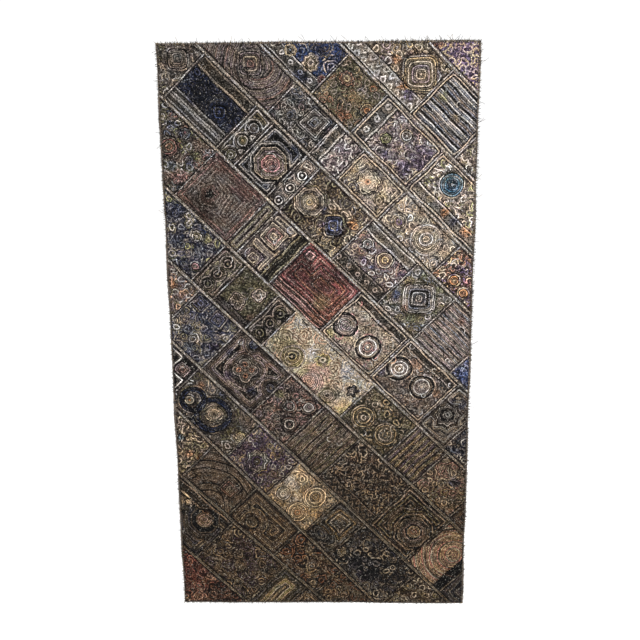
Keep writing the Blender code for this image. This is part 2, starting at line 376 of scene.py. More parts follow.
patchwork = (
    (
        field(2000, 1, "purple", "beige gold cream gold", "knots",
            spots="775 12 20 rust, 842 30 22 purple, 872 86 17 purple", ground=1.5, strokes=0.25),
    ),
    (
        field(640, 1, "brown", "gold beige mauve silver", "cells", "lower 46 silver zigzag",
            "upright 735 90 46 soot gold beige gold mauve beige gold beige",
            "668 50 13 orange, 704 146 15 purple, 690 122 12 orange", size=30, tone=0.85),
        field(820, 2, "soot", "slate silver slate silver soot slate taupe slate", "along",
            spots="800 148 14 moss, 835 210 13 gold", border=3),
        field(2000, 2, "taupe", "olive silver taupe", "knots", motifs="circle 872 262 13 black gold beige",
            size=15, tone=1.1, strokes=0.5),
    ),
    (
        field(404, 1, "blue", "navy slate navy beige", "cells", "lower 39 silver rings",
            "rosette 430 58 24 taupe beige gold beige taupe, rosette 462 104 15 taupe crimson gold, "
            "rosette 374 22 17 gold beige slate", "400 96 20 navy, 492 62 20 navy, 452 24 18 navy", size=46,
            ground=1.0, metal=0.1, tone=0.8, strokes=0.25),
        field(559, 2, "olive", "olive taupe gold rust", "cells",
            motifs="rosette 530 100 22 soot rust gold rust, circle 588 190 20 soot gold orange",
            spots="560 160 26 gold, 520 200 16 rust", size=24, pitch=5.0, ground=0.8, tone=0.7),
        field(785, 3, "mauve", "silver mauve beige silver", "knots", "start 48 silver rings",
            "rosette 640 268 16 black moss beige, circle 700 262 15 black silver mauve silver",
            "742 326 34 purple, 690 352 20 purple, 640 310 12 purple", size=15, ground=0.8, tone=0.76,
            strokes=0.4, border=3),
        field(2000, 4, "taupe", "silver moss taupe beige", "knots", "lower 39 silver lattice",
            "circle 830 400 33 black teal teal teal blue soot silver",
            "830 400 24 teal, 812 480 13 orange, 872 536 15 orange, 770 440 12 gold, 840 505 12 navy",
            size=15, tone=1.2, strokes=0.5, border=3),
    ),
    (
        field(354, 1, "taupe", "taupe mauve rose taupe mauve", "arcs",
            motifs="upright 262 58 31 black mauve beige mauve rose mauve", centre=(285, 62), dark=6,
            tone=0.68),
        field(516, 2, "soot", "silver silver slate mauve", "cells",
            motifs="square 440 222 32 black silver soot white slate silver, "
            "circle 492 268 16 black silver white", size=26, pitch=5.0, tone=0.52),
        field(622, 3, "mauve", "silver mauve silver", "knots", "start 34 silver rings", size=15, tone=0.85,
            strokes=0.4),
        field(792, 3, "taupe", "beige cream taupe gold", "cells",
            motifs="rosette 590 390 34 black cream beige cream peach rust",
            spots="548 352 14 gold, 636 430 14 gold", size=38, pitch=5.0, border=3),
        field(1018, 4, "taupe", "beige cream silver beige", "cells",
            motifs="circle 760 560 42 taupe beige cream beige silver beige cream, "
            "circle 680 508 20 black beige purple beige", spots="848 612 14 moss, 790 500 18 gold", size=32),
        field(2000, 5, "brown", "beige rust purple gold", "knots",
            motifs="circle 845 682 15 black orange gold, circle 872 722 14 black orange rust",
            spots="862 648 15 purple, 882 690 12 pink", tone=1.3),
    ),
    (
        field(117, 1, "taupe", "beige olive silver taupe", "knots",
            motifs="upright 60 44 27 black taupe beige taupe silver taupe", size=14, tone=0.75),
        field(318, 1, "navy", "navy slate soot navy", "cells",
            "lower 47 silver lines, upper 36 beige lattice", "upright 172 192 17 black blue navy blue",
            "130 130 34 navy, 104 150 22 navy, 205 190 20 navy", size=50, ground=1.0, metal=0.12, tone=0.55,
            strokes=0.25),
        field(387, 2, "soot", "taupe silver olive", "frames",
            motifs="circle 200 308 17 black silver moss silver gold, "
            "circle 234 272 17 black silver moss gold, circle 268 236 17 black silver taupe silver", dark=3,
            tone=0.7),
        field(516, 2, "soot", "soot silver slate black", "frames",
            motifs="octagon 312 336 48 black beige mauve beige pink rose pink crimson",
            spots="378 296 18 navy", tone=0.78),
        field(569, 3, "soot", "silver taupe", "frames",
            motifs="circle 402 372 15 black silver soot silver, "
            "circle 368 406 15 black silver soot silver, circle 334 440 15 black silver soot silver",
            dark=3, tone=1.2),
        field(781, 3, "brown", "gold soot olive beige", "cells",
            motifs="octagon 424 446 42 black beige soot gold beige cream gold beige, "
            "upright 492 518 27 black navy blue slate navy",
            spots="548 512 15 orange, 458 512 11 purple, 462 470 12 navy", size=34),
        field(969, 4, "mauve", "mauve beige rose silver", "cells",
            "lower 40 taupe rings, upper 34 silver zigzag",
            "circle 640 622 24 black beige rose gold beige, circle 590 572 15 black silver rose",
            "578 616 12 purple, 690 668 13 purple, 604 642 8 blue", size=28, pitch=5.0),
        field(1124, 5, "olive", "taupe olive slate silver", "cells",
            motifs="upright 742 738 43 black silver slate soot silver slate taupe silver",
            spots="672 728 14 blue, 760 668 12 moss, 808 710 13 moss, 722 798 14 moss, 700 765 11 rust, "
            "757 742 8 navy", size=28, pitch=5.0, tone=0.9),
        field(1280, 6, "taupe", "taupe mauve taupe slate", "along", spots="872 806 11 rust", pitch=4.8,
            dark=3, tone=1.2),
        field(2000, 6, "navy", "blue slate navy", "cells", spots="884 985 22 blue", ground=1.0, tone=1.6),
    ),
    (
        field(325, 1, "brown", "taupe slate moss silver rose", "cells",
            motifs="circle 22 286 24 black crimson beige rust gold, rosette 74 250 18 black slate pink",
            spots="34 222 17 navy, 100 312 14 moss, 50 372 22 rose, 80 330 14 navy, 30 340 15 slate",
            size=30, tone=0.8),
        field(527, 2, "taupe", "taupe brown", "frames", motifs="flower 136 424 13 black soot",
            spots="246 398 48 rose, 168 330 34 rose, 110 460 40 brown", rim="rose brown rose", pitch=5.0,
            dark=60, ground=1.0, metal=0.1, tone=0.9, strokes=0.12),
        field(569, 2, "soot", "taupe olive", "beads", dark=3),
        field(700, 3, "taupe", "mauve beige taupe", "frames", "end 36 olive lines",
            "square 318 548 32 black beige rose mauve beige rose, "
            "square 254 612 26 black mauve beige rose beige"),
        field(909, 4, "crimson", "crimson maroon rust crimson", "frames", "lower 38 rose lines",
            "square 424 606 13 soot rose",
            "476 776 60 rust, 384 640 50 maroon, 452 690 40 brown, 524 664 40 maroon, 452 748 24 gold",
            rim="maroon crimson rose maroon", pitch=5.0, dark=60, ground=1.0, metal=0.06, tone=1.6,
            strokes=0.2),
        field(1117, 5, "beige", "cream silver pink beige", "knots", "upper 32 taupe lattice",
            "circle 524 818 38 black black mauve taupe silver mauve silver mauve, "
            "circle 592 888 38 black black beige silver mauve rose silver beige",
            "476 842 13 yellow, 556 948 18 rust, 536 728 12 purple, 610 952 12 gold", size=12, tone=1.25,
            border=3),
        field(1329, 6, "taupe", "beige peach silver taupe", "knots", "upper 30 taupe lines",
            "circle 686 956 38 black black taupe silver mauve silver beige silver, "
            "circle 756 1016 37 black black taupe silver mauve taupe silver beige",
            "640 925 15 orange, 738 942 18 peach, 630 965 11 purple, 800 1040 12 peach", size=13, tone=1.2,
            border=3),
        field(1442, 7, "taupe", "beige silver", "frames",
            motifs="star 835 1108 36 black silver black silver navy silver",
            spots="880 1076 14 navy, 850 1060 10 navy", dark=3, tone=0.55),
        field(2000, 7, "navy", "slate silver soot", "knots"),
    ),
    (
        field(530, 1, "navy", "slate moss silver navy", "cells",
            motifs="rosette 84 638 13 soot pink rose, rosette 92 546 18 black silver moss silver",
            spots="40 470 20 navy, 45 660 30 navy, 90 600 16 slate, 30 560 20 slate, 120 560 12 moss",
            size=28, metal=0.36),
        field(615, 2, "soot", "olive taupe", "frames",
            motifs="circle 180 630 15 black taupe black olive, circle 150 660 15 black taupe black olive, "
            "circle 120 690 15 black taupe black olive", spots="168 592 12 rose", dark=3, tone=1.2),
        field(746, 2, "olive", "olive taupe brown olive", "knots", "lower 22 soot lines",
            "quatrefoil 204 744 26 black taupe gold olive, quatrefoil 270 726 23 black taupe gold",
            "300 752 10 gold, 240 796 12 rose", size=13, ground=0.5, tone=1.4),
        field(817, 2, "soot", "olive taupe soot", "frames",
            motifs="circle 332 782 15 black olive black taupe, circle 300 812 15 black taupe black olive, "
            "circle 268 842 15 black olive black taupe", dark=3, tone=0.9),
        # the palest field, at the middle: its cream with the blush and white rounds and blush places near 410
        # 990 is partly its own pale colour and partly a painted highlight where the light is brightest
        field(1146, 3, "cream", "cream peach cream white", "cells",
            motifs="circle 366 918 36 taupe beige yellow cream beige yellow black cream, "
            "circle 412 996 50 cream blush cream blush white blush cream blush, "
            "rosette 458 928 24 gold yellow cream yellow, "
            "circle 470 1042 30 beige cream yellow beige cream taupe brown, "
            "flower 546 1028 22 black slate silver",
            spots="408 985 40 blush, 440 974 38 blush, 530 970 22 slate, 356 905 44 gold, "
            "520 1080 26 yellow, 500 1040 40 beige, 326 862 44 olive, 392 955 24 yellow", size=52,
            pitch=5.0, ground=1.3, metal=0.12, tone=0.78, strokes=0.1),
        field(1336, 4, "olive", "gold olive beige soot", "cells",
            motifs="circle 578 1112 35 black gold olive gold olive beige gold, "
            "circle 648 1172 35 black gold olive beige olive gold olive", size=32, ground=0.5, tone=0.8),
        field(1464, 4, "brown", "gold taupe purple olive", "cross", spots="716 1246 11 rust", dark=3,
            tone=1.1),
        field(1626, 5, "brown", "olive taupe beige rose", "cells", spots="862 1332 17 navy", size=30,
            ground=0.5, tone=1.15),
        field(2000, 5, "maroon", "rose maroon taupe", "frames"),
    ),
    (
        field(569, 1, "taupe", "silver olive peach mauve", "knots",
            spots="12 690 14 orange, 40 725 12 peach", tone=0.95),
        field(739, 1, "navy", "slate olive silver navy", "cells",
            motifs="square 96 752 20 soot navy blue navy, square 146 802 18 soot blue navy",
            spots="128 888 15 purple, 30 800 17 beige, 60 880 17 slate, 120 840 16 navy", size=30,
            metal=0.36),
        field(946, 2, "brown", "taupe soot brown mauve", "frames",
            motifs="quatrefoil 222 962 40 black taupe rust mauve purple taupe rust, "
            "circle 250 880 15 black navy slate, circle 296 1020 14 black navy taupe",
            spots="180 900 14 navy, 290 950 12 rust, 168 980 15 purple, 240 1030 16 navy", dark=5,
            ground=0.5, tone=1.1),
        field(1089, 3, "maroon", "rose mauve taupe rose", "cells",
            motifs="circle 352 1078 18 black silver soot mauve silver, "
            "circle 412 1082 18 black silver mauve, circle 352 1138 18 black silver soot mauve",
            spots="322 1036 14 moss, 400 1140 16 rose", size=28, ground=0.5, tone=0.9),
        field(1242, 4, "brown", "olive taupe brown taupe", "cross", pitch=5.0, dark=5),
        field(1464, 5, "brown", "beige brown taupe", "knots", "lower 38 taupe zigzag", ground=0.5,
            tone=0.85, strokes=0.5),
        field(1640, 6, "soot", "olive taupe brown", "frames",
            motifs="octagon 738 1502 52 black taupe soot mauve soot beige rose taupe", dark=2, ground=0.5,
            tone=1.35),
        field(1796, 7, "taupe", "pink beige rose beige silver", "arcs", "end 30 black lines",
            spots="800 1530 22 soot, 872 1520 18 gold", centre=(866, 1584), pitch=5.0, dark=9, tone=1.5,
            strokes=0.5),
        field(2000, 7, "navy", "slate navy soot", "frames", tone=1.2),
    ),
    (
        field(733, 1, "black", "soot white silver black mauve", "frames",
            motifs="square 34 958 20 black mauve rose mauve", dark=2, tone=1.2),
        field(990, 1, "taupe", "beige taupe olive silver", "cells",
            motifs="ring 118 1106 50 black blue blue, ring 60 1056 34 black blue navy, "
            "circle 122 1104 28 black cream beige rose beige brown rust, "
            "circle 50 1056 15 black cream orange, rosette 200 1180 18 black yellow gold, "
            "flower 56 1128 20 black blue silver",
            spots="122 1104 24 cream, 84 1012 13 orange, 168 1160 12 moss, 150 1040 13 navy, "
            "205 1188 26 cream, 222 1204 14 yellow", size=34, metal=0.1, tone=0.8, strokes=0.5),
        field(1167, 2, "purple", "silver beige gold mauve", "cells",
            motifs="star 250 1262 34 black silver purple gold silver purple",
            spots="200 1215 26 purple, 226 1278 24 purple, 262 1200 18 purple, 238 1332 22 purple", size=24,
            pitch=5.0, ground=1.6, metal=0.1, tone=0.95, strokes=0.6),
        field(1344, 3, "beige", "cream silver beige gold", "cells",
            motifs="circle 372 1436 32 taupe cream beige cream peach cream, "
            "circle 430 1384 34 taupe cream gold cream beige gold cream, "
            "circle 330 1372 22 black silver white", spots="350 1340 26 silver, 420 1436 22 gold", size=38,
            pitch=5.0, ground=0.8, tone=1.5, strokes=0.3),
        field(1457, 3, "soot", "gold slate silver", "frames",
            motifs="oval 446 1510 19 black slate navy silver", dark=2, tone=1.1),
        field(1697, 4, "soot", "silver slate navy soot", "cells",
            motifs="rosette 512 1578 17 black silver gold",
            spots="600 1638 40 navy, 556 1606 30 navy, 580 1660 22 purple", size=30, ground=0.5, tone=1.1,
            strokes=0.5),
        field(2000, 5, "brown", "olive taupe silver", "cells",
            motifs="circle 722 1696 15 black silver gold", size=26, tone=1.2),
    ),
    (
        field(937, 1, "brown", "taupe beige olive", "knots",
            spots="16 1180 11 teal, 40 1235 11 peach, 72 1250 10 orange", tone=1.6),
        field(1131, 2, "brown", "taupe brown taupe", "arcs",
            motifs="square 160 1356 22 black rose taupe beige", centre=(92, 1410), pitch=5.0, dark=5,
            tone=1.15),
        field(1329, 3, "brown", "taupe brown beige", "frames",
            motifs="circle 226 1470 20 black beige brown silver", dark=6, tone=0.95),
        field(1520, 3, "maroon", "taupe beige brown rust", "cells", size=36, ground=0.5, tone=0.95),
        field(2000, 3, "brown", "rust beige taupe", "cells", size=28, ground=0.5, tone=0.8),
    ),
    (
        field(1160, 1, "black", "taupe navy silver soot", "frames", "upper 36 taupe lines",
            "octagon 80 1462 44 taupe black black taupe mauve beige mauve taupe, "
            "flower 34 1400 18 black silver navy", "84 1432 12 orange, 24 1390 16 cream, 40 1440 15 navy",
            dark=2, tone=1.6, strokes=0.3),
        field(1386, 2, "brown", "taupe purple beige taupe", "cells", size=34, ground=0.5, tone=0.9),
        field(1485, 2, "olive", "beige moss silver soot", "frames", rim="black navy black", dark=60,
            ground=1.2, tone=1.35, strokes=0.4),
        field(2000, 2, "soot", "beige taupe", "frames", dark=3),
    ),
    (
        field(2000, 1, "maroon", "crimson maroon crimson rose", "cells",
            spots="10 1750 12 cream, 14 1640 62 crimson, 126 1725 52 brown", size=38, ground=1.0, tone=1.8,
            strokes=0.4),
    ),
)


# The couched lines: metal thread laid in rounds that follow each motif and each side
couching = {
    "gridStep": 2.0,
    "pitch": 5.4,
    "cover": 0.80,  # share of the pitch that a laid line covers
    "high": 1.3,
    "sunk": 0.3,
    "outlineWide": 4.0,
    "outlineHigh": 1.9,
    "longestStep": 18.0,
    "sharpestTurn": 0.55,
    "wander": 2.4,
    "toEdge": 4.8,
    "seamShadow": 1.6,  # dark cloth left between a seam's cord and the first round
    "lineTone": (0.78, 0.44),  # how light a line is at least, and how much lighter some are
    "darkLine": 0.02,  # lines darker than this are laid thinner
    "borderLines": ((1.6, "soot"), (5.2, "beige"), (8.8, "soot")),
    "ringWide": 7.5,  # half of a ring motif's own width
    "knotPitch": 5.0,
    "haloRounds": 1.5,  # how many rounds follow a motif's outside where the others run freely
    "openCell": 14,  # cells smaller than this hold a knot and no rounds
}
patchForm = {"cell": 7.0, "edge": 1.4, "crown": 2.7, "roll": 7.0}
cordProfile = ((-1.0, 0.0), (-0.55, 0.9), (0.55, 0.9), (1.0, 0.0))
# Zones of a field: 0 is its main part and its bands count from 1; the rounds near motifs and the motifs
# themselves have higher numbers
nearMotif, firstMotif = 50, 100


def jitter(i, j, seed):
    value = np.sin(i * 127.1 + j * 311.7 + seed * 74.7) * 43758.5453
    return value - np.floor(value)


def cellPoint(i, j, size):
    x, y = i + 0.5 + 0.6 * (jitter(i, j, 1) - 0.5), j + 0.5 + 0.6 * (jitter(i, j, 2) - 0.5)
    return x * size, y * size


def cellDistance(x, y, size):
    # how far the nearest scattered point is, and that point's own number from 0 to 1
    nearest, tag = np.full(x.shape, np.inf), np.zeros(x.shape)
    for di in (-1, 0, 1):
        for dj in (-1, 0, 1):
            i, j = np.floor(x / size) + di, np.floor(y / size) + dj
            cx, cy = cellPoint(i, j, size)
            away = np.hypot(x - cx, y - cy)
            tag = np.where(away < nearest, jitter(i, j, 3), tag)
            nearest = np.minimum(away, nearest)
    return nearest, tag


def motifDistance(shape, dx, dy, r):
    u, v = (dx + dy) / root2, (dx - dy) / root2
    far, turn = np.hypot(dx, dy), np.arctan2(dy, dx)
    box, diamond = np.maximum(abs(dx), abs(dy)), np.maximum(abs(u), abs(v))
    if shape == "square":
        return diamond - r
    if shape == "upright":
        return (abs(dx) ** 5 + abs(dy) ** 5) ** 0.2 - r
    if shape == "octagon":
        return np.maximum(box, diamond) - r
    if shape == "rosette":
        return far - r * (0.93 + 0.10 * np.cos(8 * turn))
    if shape == "flower":
        return far - r * (0.74 + 0.26 * np.cos(5 * turn))
    if shape == "star":
        return np.minimum(box, diamond) - 0.78 * r
    if shape == "quatrefoil":
        return np.hypot(box - 0.5 * r, np.minimum(abs(dx), abs(dy))) - 0.52 * r
    if shape == "oval":
        return np.hypot(u / 1.7, v) - r
    if shape == "ring":
        return abs(far - r) - couching["ringWide"]
    return far - r


def wandered(x, y):
    # hand work is never quite straight
    w = couching["wander"]
    shiftX = w * ripple(x, y, 85, 1.0) + 0.45 * w * ripple(x, y, 27, 2.0)
    shiftY = w * ripple(x, y, 85, 3.0) + 0.45 * w * ripple(x, y, 27, 4.0)
    return x + shiftX, y + shiftY


# Strips: how wide a pair of rounds is, and how often each fill repeats; rings in shares of the strip's width
bandFill = {"pair": 15, "ring": 0.40, "ringEvery": 0.92, "zigzagEvery": 26.0, "latticeEvery": 19.0}


def bandLevel(fill, depth, run, width):
    # the rounds of thread inside a strip, and their pitch
    pitch = width / max(2, 2 * round(width / bandFill["pair"]))
    level = np.minimum(depth, width - depth) / pitch
    if fill == "rings":
        radius, space = bandFill["ring"] * width, bandFill["ringEvery"] * width
        away = np.hypot(run % space - space / 2, depth - width / 2)
        level = np.where(away < radius, (radius - away) / pitch + 1, np.minimum(level, 0.9))
    if fill == "zigzag":
        swing = (width / 2 - 1.6 * pitch) * (2 * np.abs((run / bandFill["zigzagEvery"]) % 1.0 * 2 - 1) - 1)
        level = np.where(level > 1, 1 + np.abs(depth - width / 2 - swing) / pitch, level)
    if fill == "lattice":
        every = bandFill["latticeEvery"]
        first, second = (run + depth) % every - every / 2, (run - depth) % every - every / 2
        level = np.where(level > 1, 1 + np.minimum(np.abs(first), np.abs(second)) / 6.0, level)
    return level, pitch


def fieldSides(spot, along, across):
    # how far each side of a field is
    lower, upper = rowSides(spot["row"], along)
    shadow = couching["seamShadow"]
    return {
        "lower": across - lower - shadow,
        "upper": upper - across - shadow,
        "start": along - spot["start"] - shadow,
        "end": spot["stop"] - along - shadow,
    }


def motifRounds(motif):
    # inks of the rounds inside a motif, from its rim, each ink over as many rounds as its share
    shape, _, _, r, motifInks = motif
    if shape == "ring":
        return motifInks[1:]
    many = max(len(motifInks) - 1, round(r / couching["pitch"]))
    return [motifInks[1 + k * (len(motifInks) - 1) // many] for k in range(many)]


def readPattern(spot, x, y):
    # at each point: how many rounds in from the pattern's edge, their pitch, its zone and its cell's number
    field = spot["field"]
    kind, rounds = field["kind"], field["pitch"]
    px, py = wandered(x, y)
    along, across = toRow(px, py)
    sides = fieldSides(spot, along, across)
    zone = np.zeros(x.shape, int)
    level, pitch, tag = np.zeros(x.shape), np.full(x.shape, float(rounds)), np.zeros(x.shape)
    for number, (side, width, _, fill) in enumerate(field["bands"], start=1):
        inside = (sides[side] < width) & (zone == 0)
        run = along if side in ("lower", "upper") else across
        bandLine, bandPitch = bandLevel(fill, sides[side], run, width)
        level, pitch = np.where(inside, bandLine, level), np.where(inside, bandPitch, pitch)
        zone = np.where(inside, number, zone)
        sides[side] = sides[side] - width
    isFramed = kind in ("frames", "beads")
    if isFramed:
        main = np.minimum.reduce(list(sides.values()))
    elif kind == "along":
        main = sides["lower"]
    elif kind == "cross":
        main = sides["start"]
    elif kind == "arcs":
        main = np.hypot(px - field["centre"][0], py - field["centre"][1])
    else:
        bentX, bentY = px + 3.5 * ripple(px, py, 37, 7), py + 3.5 * ripple(py, px, 31, 9)
        main, tag = cellDistance(bentX, bentY, field["size"])
        main = main * (1 + 0.22 * ripple(px, py, 19, 5))
        pitch = np.where(zone == 0, couching["knotPitch"] if kind == "knots" else rounds, pitch)
    halo = np.full(x.shape, np.inf)
    for number, motif in enumerate(field["motifs"], start=firstMotif):
        shape, mx, my, r = motif[:4]
        away = motifDistance(shape, px - mx, py - my, r)
        inside = (away < 0) & (zone < firstMotif)
        motifPitch = (couching["ringWide"] if shape == "ring" else r) / len(motifRounds(motif))
        level = np.where(inside, -away / motifPitch, level)
        pitch, zone = np.where(inside, motifPitch, pitch), np.where(inside, number, zone)
        halo = np.minimum(halo, np.abs(away))
    if isFramed:
        main = np.minimum(main, halo)
    else:
        near = (zone == 0) & (halo < couching["haloRounds"] * rounds)
        zone, pitch = np.where(near, nearMotif, zone), np.where(near, rounds, pitch)
        main = np.where(near, halo, main)
    level = np.where((zone == 0) | (zone == nearMotif), main / pitch, level)
    return level, pitch, zone, tag


def zoneInks(field, zone):
    if zone >= firstMotif:
        return motifRounds(field["motifs"][zone - firstMotif])
    if 0 < zone < nearMotif:
        return (field["bands"][zone - 1][2],)
    return field["threads"]


# How light the even and the odd rounds of cells, bands and motifs are, and the dark rounds elsewhere, darker
# copies
# of their thread painted as shadow lines: where they are darkest, and how much lighter they get at random
# places
roundTones = {"cells": (0.45, 1.25), "bands": (1.0, 0.16), "motifs": (1.25, 0.42), "dark": (0.08, 0.42)}


def paint(spot, x, y, count, zone, tag):
    # the thread's colour for the round that a point belongs to
    field = spot["field"]
    inCells = field["kind"] in ("cells", "knots")
    colour = np.zeros((len(x), 3))
    for z in np.unique(zone):
        chosen = zone == z
        table = np.array([inks[name] for name in zoneInks(field, z)])
        pick = rounds = count[chosen]
        if z in (0, nearMotif) and inCells:
            pick = (tag[chosen] * len(table)).astype(int) + (rounds % 2) * (len(table) > 2)
        shades = table[pick % len(table)]
        tones = (1.0, 1.0)
        if z >= firstMotif:
            tones = roundTones["motifs"]
        elif 0 < z < nearMotif:
            tones = roundTones["bands"]
        elif z == 0 and inCells:
            tones = roundTones["cells"]
        else:
            # painted shadow line: one round in so many is a darker copy of its thread
            isDark = (pick % field["dark"] == (1 if z == nearMotif else 0))[:, None]
            shadeLift = smoothStep(0.4 + 1.1 * ripple(x[chosen], y[chosen], 62, 11))[:, None]
            darkest, more = roundTones["dark"]
            shades = np.where(isDark, (darkest + more * shadeLift) * shades, shades)
        colour[chosen] = shades * np.array(tones)[rounds % 2][:, None]
        if z == 0:
            for k, name in enumerate(field["rim"]):
                colour[chosen & (count == k)] = inks[name]
    metal = field["metal"] * (1 + 0.8 * ripple(x, y, 24, 8)[:, None])
    metal = metal * smoothStep(colour.mean(1, keepdims=True) / 0.05)
    colour = colour * (1 - metal) + np.array(inks["beige"]) * metal
    return agedAndLit(x, y, touchUp(field, x, y, colour)) * field["tone"]


# How the colours are changed: darker and browner low down and lighter towards the right, painted shade and
# painted light as the light falls; uneven all over at random
ageAndLight = {
    "lowFrom": 820.0,
    "lowOver": 700.0,
    "lowShade": (0.46, 0.55, 0.68),
    "sideLightOver": 700.0,
    "middleInk": 0.13,  # inks darker than this are darkened, and lighter ones lightened
    "contrast": 0.43,
    "brightest": 0.60,
}


def agedAndLit(x, y, colour):
    # painted shade: darker and browner low down; painted light: lighter towards the right side
    low = smoothStep((y - ageAndLight["lowFrom"]) / ageAndLight["lowOver"])[:, None]
    side = smoothStep(x / ageAndLight["sideLightOver"])[:, None] * (1 - low)
    strong = ((colour.mean(1, keepdims=True) / ageAndLight["middleInk"]) ** ageAndLight["contrast"]).clip(0.28, 1.28)
    strong = strong * (0.82 + 0.38 * side) * (1 + 0.17 * ripple(x, y, 75, 13)[:, None])
    warm = 0.09 * ripple(x, y, 52, 21)
    tint = np.stack((1 + warm, 1 + 0.04 * ripple(x, y, 43, 22), 1.08 - 1.4 * warm), -1)
    worn = colour * strong * tint * (1 - low * np.array(ageAndLight["lowShade"]))
    return worn * np.minimum(1, ageAndLight["brightest"] / worn.max(1, keepdims=True))


def touchUp(field, x, y, colour):
    # the places of another colour, ragged at their rims
    for sx, sy, r, name in field["spots"]:
        ragged = np.hypot(x - sx, y - sy) - r * (1 + 0.30 * ripple(x, y, 31, sx))
        share = smoothStep(0.5 - ragged / 9.0) * (0.62 + 0.34 * ripple(x, y, 13, sy))
        share = share[:, None]
        tone = 0.10 + 0.90 * (colour.mean(1, keepdims=True) / 0.18).clip(0.0, 1.5)
        colour = colour * (1 - share) + np.array(inks[name]) * tone * share
    return colour


def plainInk(field, x, y, ink):
    # one ink over many points, touched up, given its uneven tone and its painted light and shade, and toned
    # as the field is
    return agedAndLit(x, y, touchUp(field, x, y, np.tile(ink, (len(x), 1)))) * field["tone"]


def groundInkWithShade(spot, x, y, level, zone, tag):
    # the cloth between the rounds is darker than the thread laid on it: its own colour dimmed as painted
    # shade in the gaps under the thread
    field = spot["field"]
    laid = paint(spot, x, y, np.floor(level).astype(int), zone, tag)
    cloth = plainInk(field, x, y, np.array(inks[field["cloth"]]))
    isPlain = ((zone == 0) | (zone == nearMotif))[:, None]
    # painted shade: the cloth dimmed, and in bands and motifs only a dark copy of the thread's colour
    mixed = np.where(isPlain, field["ground"] * 0.6 * cloth + 0.08 * laid, 0.12 * laid)
    return np.maximum(mixed, 0.003)


def contourLines(values, target, usable):
    # the lines where a grid of values crosses a target, as chains of (row, column) places
    above = values > target
    n, m = values.shape
    acrossRow, downColumn = above[:, 1:] != above[:, :-1], above[1:, :] != above[:-1, :]
    with np.errstate(divide="ignore", invalid="ignore"):
        rowAt = (target - values[:, :-1]) / (values[:, 1:] - values[:, :-1])
        columnAt = (target - values[:-1, :]) / (values[1:, :] - values[:-1, :])
    rowIds = np.arange(n * m).reshape(n, m)[:, :-1]
    columnIds = n * m + np.arange(n * m).reshape(n, m)[:-1, :]
    crossed = np.stack((acrossRow[:-1], downColumn[:, 1:], acrossRow[1:], downColumn[:, :-1]), -1)
    ids = np.stack((rowIds[:-1], columnIds[:, 1:], rowIds[1:], columnIds[:, :-1]), -1)
    crossed, ids = crossed[usable], ids[usable]
    two = crossed.sum(-1) == 2
    order = np.argsort(~crossed[two], axis=1, kind="stable")[:, :2]
    pairs = np.take_along_axis(ids[two], order, 1).tolist()
    for a, b, c, d in ids[crossed.sum(-1) == 4].tolist():
        pairs += [(a, d), (b, c)]
    links = {}
    for first, second in pairs:
        links.setdefault(first, []).append(second)
        links.setdefault(second, []).append(first)

    def placeOf(number):
        if number < n * m:
            i, j = divmod(number, m)
            return i, j + rowAt[i, j]
        i, j = divmod(number - n * m, m)
        return i + columnAt[i, j], j

    lines = []
    starts = [key for key, ends in links.items() if len(ends) == 1] + list(links)
    for start in starts:
        if not links[start]:
            continue
        chain, here = [start], start
        while links[here]:
            ahead = links[here].pop()
            links[ahead].remove(here)
            chain.append(ahead)
            here = ahead
        if len(chain) > 3:
            lines.append(np.array([placeOf(number) for number in chain]))
    return lines


def evenLine(points, closed):
    # smoothed, with points closer together where the line turns
    for _ in range(2):
        if closed:
            loop = np.vstack((points[-2], points, points[1]))
            points = (loop[:-2] + 2 * loop[1:-1] + loop[2:]) / 4
            points[-1] = points[0]
        elif len(points) > 2:
            middle = (points[:-2] + 2 * points[1:-1] + points[2:]) / 4
            points = np.vstack((points[:1], middle, points[-1:]))
    steps = np.diff(points, axis=0)
    length = np.maximum(np.hypot(*steps.T), 1e-6)
    heading = np.unwrap(np.arctan2(steps[:, 1], steps[:, 0]))
    turn = np.concatenate((np.abs(np.diff(heading)), (0.0,)))
    cost = np.cumsum(length / couching["longestStep"] + turn / couching["sharpestTurn"])
    cost = np.concatenate(((0.0,), cost))
    wanted = np.linspace(0, cost[-1], max(6 if closed else 3, math.ceil(cost[-1]) + 1))
    return np.stack([np.interp(wanted, cost, place) for place in points.T], 1)


